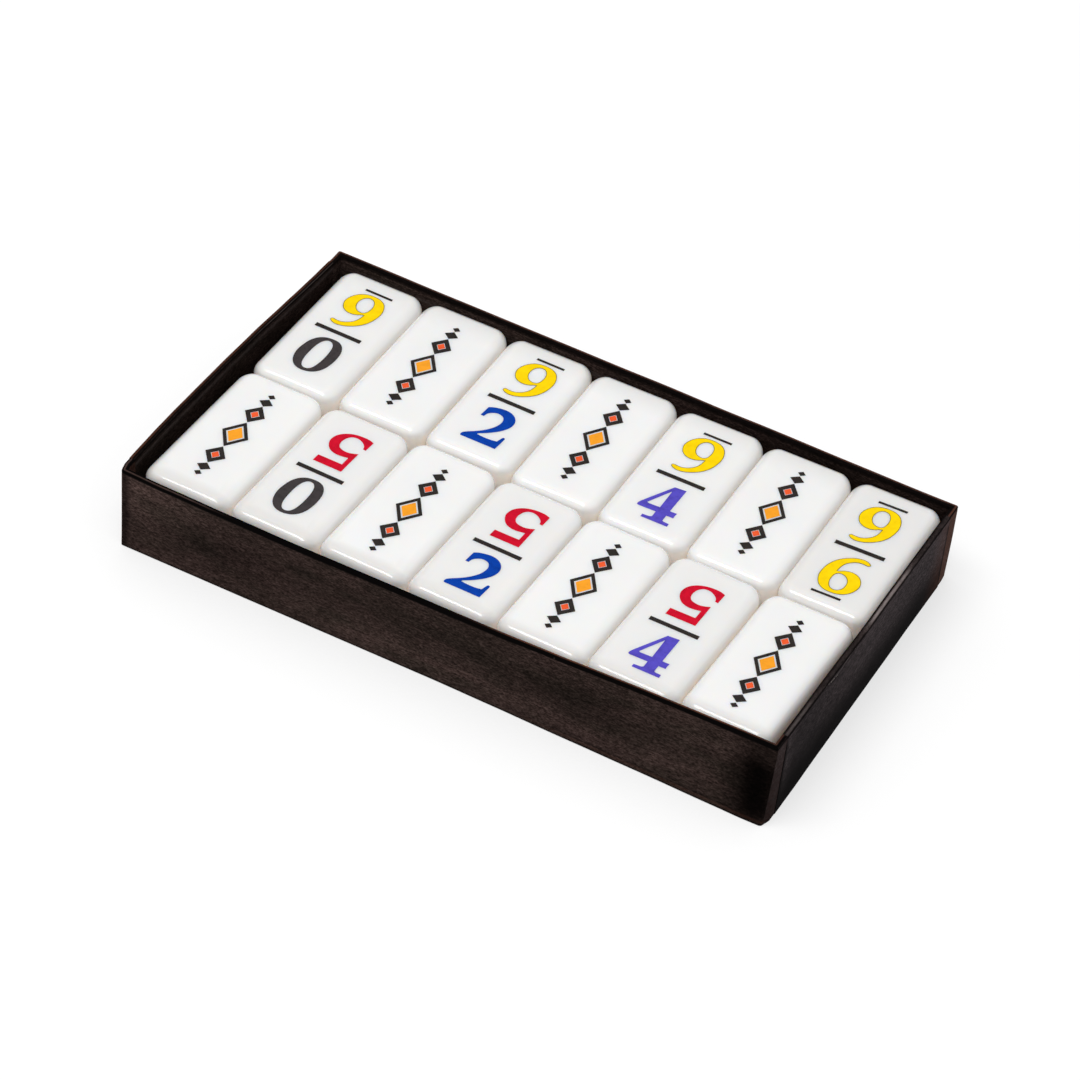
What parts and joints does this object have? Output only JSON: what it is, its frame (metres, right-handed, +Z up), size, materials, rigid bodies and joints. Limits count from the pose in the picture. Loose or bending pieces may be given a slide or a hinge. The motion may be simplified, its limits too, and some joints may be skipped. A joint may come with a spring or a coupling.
{
  "type": "domino box",
  "caption": "Shallow open tray of paper-wrapped rigid board holding glossy white number dominoes in two stacked layers of two rows.",
  "frame": {"origin": "centre of the tray's footprint, on its underside", "axes": "+X along the tray's long side, +Y from the front wall to the back wall, +Z up out of the open top"},
  "size_m": [0.185, 0.1076, 0.0251],
  "materials": {
    "greyboard": "matte",
    "wrap_paper": "satin",
    "liner_paper": "matte",
    "stay_tape": "matte",
    "tile_resin": "gloss",
    "ink_black": "gloss",
    "ink_yellow": "gloss",
    "ink_red": "gloss",
    "ink_violet": "gloss",
    "ink_blue": "gloss",
    "ink_green": "gloss",
    "ink_orange": "gloss"
  },
  "bodies": {
    "tray": {"base_board": "greyboard", "front_board": "greyboard", "back_board": "greyboard", "left_board": "greyboard", "right_board": "greyboard", "wrap_base": "wrap_paper", "wrap_front": "wrap_paper", "wrap_back": "wrap_paper", "wrap_left": "wrap_paper", "wrap_right": "wrap_paper", "floor_liner": "liner_paper", "stay_front_left": "stay_tape", "stay_front_right": "stay_tape", "stay_back_left": "stay_tape", "stay_back_right": "stay_tape"},
    "tile_0_0": {"tile_0_0": "tile_resin"},
    "tile_0_1": {"tile_0_1": "tile_resin"},
    "tile_1_1": {"tile_1_1": "tile_resin"},
    "tile_0_2": {"tile_0_2": "tile_resin"},
    "tile_1_2": {"tile_1_2": "tile_resin"},
    "tile_2_2": {"tile_2_2": "tile_resin"},
    "tile_0_3": {"tile_0_3": "tile_resin"},
    "tile_1_3": {"tile_1_3": "tile_resin"},
    "tile_2_3": {"tile_2_3": "tile_resin"},
    "tile_3_3": {"tile_3_3": "tile_resin"},
    "tile_0_4": {"tile_0_4": "tile_resin"},
    "tile_1_4": {"tile_1_4": "tile_resin"},
    "tile_2_4": {"tile_2_4": "tile_resin"},
    "tile_3_4": {"tile_3_4": "tile_resin"},
    "tile_0_6": {"tile_0_6": "tile_resin"},
    "tile_1_6": {"tile_1_6": "tile_resin"},
    "tile_2_6": {"tile_2_6": "tile_resin"},
    "tile_3_6": {"tile_3_6": "tile_resin"},
    "tile_4_6": {"tile_4_6": "tile_resin"},
    "tile_5_6": {"tile_5_6": "tile_resin"},
    "tile_6_6": {"tile_6_6": "tile_resin"},
    "tile_4_4": {"tile_4_4": "tile_resin"},
    "tile_0_5": {"tile_0_5": "tile_resin"},
    "tile_1_5": {"tile_1_5": "tile_resin"},
    "tile_2_5": {"tile_2_5": "tile_resin"},
    "tile_3_5": {"tile_3_5": "tile_resin"},
    "tile_4_5": {"tile_4_5": "tile_resin"},
    "tile_5_5": {"tile_5_5": "tile_resin"}
  },
  "joints": [
    {"name": "lift_tile_0_0", "type": "slide", "parent": "tray", "child": "tile_0_0", "axis": [0, 0, 1], "range_m": [0, 0.04]},
    {"name": "lift_tile_0_1", "type": "slide", "parent": "tray", "child": "tile_0_1", "axis": [0, 0, 1], "range_m": [0, 0.04]},
    {"name": "lift_tile_1_1", "type": "slide", "parent": "tray", "child": "tile_1_1", "axis": [0, 0, 1], "range_m": [0, 0.04]},
    {"name": "lift_tile_0_2", "type": "slide", "parent": "tray", "child": "tile_0_2", "axis": [0, 0, 1], "range_m": [0, 0.04]},
    {"name": "lift_tile_1_2", "type": "slide", "parent": "tray", "child": "tile_1_2", "axis": [0, 0, 1], "range_m": [0, 0.04]},
    {"name": "lift_tile_2_2", "type": "slide", "parent": "tray", "child": "tile_2_2", "axis": [0, 0, 1], "range_m": [0, 0.04]},
    {"name": "lift_tile_0_3", "type": "slide", "parent": "tray", "child": "tile_0_3", "axis": [0, 0, 1], "range_m": [0, 0.04]},
    {"name": "lift_tile_1_3", "type": "slide", "parent": "tray", "child": "tile_1_3", "axis": [0, 0, 1], "range_m": [0, 0.04]},
    {"name": "lift_tile_2_3", "type": "slide", "parent": "tray", "child": "tile_2_3", "axis": [0, 0, 1], "range_m": [0, 0.04]},
    {"name": "lift_tile_3_3", "type": "slide", "parent": "tray", "child": "tile_3_3", "axis": [0, 0, 1], "range_m": [0, 0.04]},
    {"name": "lift_tile_0_4", "type": "slide", "parent": "tray", "child": "tile_0_4", "axis": [0, 0, 1], "range_m": [0, 0.04]},
    {"name": "lift_tile_1_4", "type": "slide", "parent": "tray", "child": "tile_1_4", "axis": [0, 0, 1], "range_m": [0, 0.04]},
    {"name": "lift_tile_2_4", "type": "slide", "parent": "tray", "child": "tile_2_4", "axis": [0, 0, 1], "range_m": [0, 0.04]},
    {"name": "lift_tile_3_4", "type": "slide", "parent": "tray", "child": "tile_3_4", "axis": [0, 0, 1], "range_m": [0, 0.04]},
    {"name": "lift_tile_0_6", "type": "slide", "parent": "tile_0_0", "child": "tile_0_6", "axis": [0, 0, 1], "range_m": [0, 0.04]},
    {"name": "lift_tile_1_6", "type": "slide", "parent": "tile_0_1", "child": "tile_1_6", "axis": [0, 0, 1], "range_m": [0, 0.04]},
    {"name": "lift_tile_2_6", "type": "slide", "parent": "tile_1_1", "child": "tile_2_6", "axis": [0, 0, 1], "range_m": [0, 0.04]},
    {"name": "lift_tile_3_6", "type": "slide", "parent": "tile_0_2", "child": "tile_3_6", "axis": [0, 0, 1], "range_m": [0, 0.04]},
    {"name": "lift_tile_4_6", "type": "slide", "parent": "tile_1_2", "child": "tile_4_6", "axis": [0, 0, 1], "range_m": [0, 0.04]},
    {"name": "lift_tile_5_6", "type": "slide", "parent": "tile_2_2", "child": "tile_5_6", "axis": [0, 0, 1], "range_m": [0, 0.04]},
    {"name": "lift_tile_6_6", "type": "slide", "parent": "tile_0_3", "child": "tile_6_6", "axis": [0, 0, 1], "range_m": [0, 0.04]},
    {"name": "lift_tile_4_4", "type": "slide", "parent": "tile_1_3", "child": "tile_4_4", "axis": [0, 0, 1], "range_m": [0, 0.04]},
    {"name": "lift_tile_0_5", "type": "slide", "parent": "tile_2_3", "child": "tile_0_5", "axis": [0, 0, 1], "range_m": [0, 0.04]},
    {"name": "lift_tile_1_5", "type": "slide", "parent": "tile_3_3", "child": "tile_1_5", "axis": [0, 0, 1], "range_m": [0, 0.04]},
    {"name": "lift_tile_2_5", "type": "slide", "parent": "tile_0_4", "child": "tile_2_5", "axis": [0, 0, 1], "range_m": [0, 0.04]},
    {"name": "lift_tile_3_5", "type": "slide", "parent": "tile_1_4", "child": "tile_3_5", "axis": [0, 0, 1], "range_m": [0, 0.04]},
    {"name": "lift_tile_4_5", "type": "slide", "parent": "tile_2_4", "child": "tile_4_5", "axis": [0, 0, 1], "range_m": [0, 0.04]},
    {"name": "lift_tile_5_5", "type": "slide", "parent": "tile_3_4", "child": "tile_5_5", "axis": [0, 0, 1], "range_m": [0, 0.04]}
  ]
}
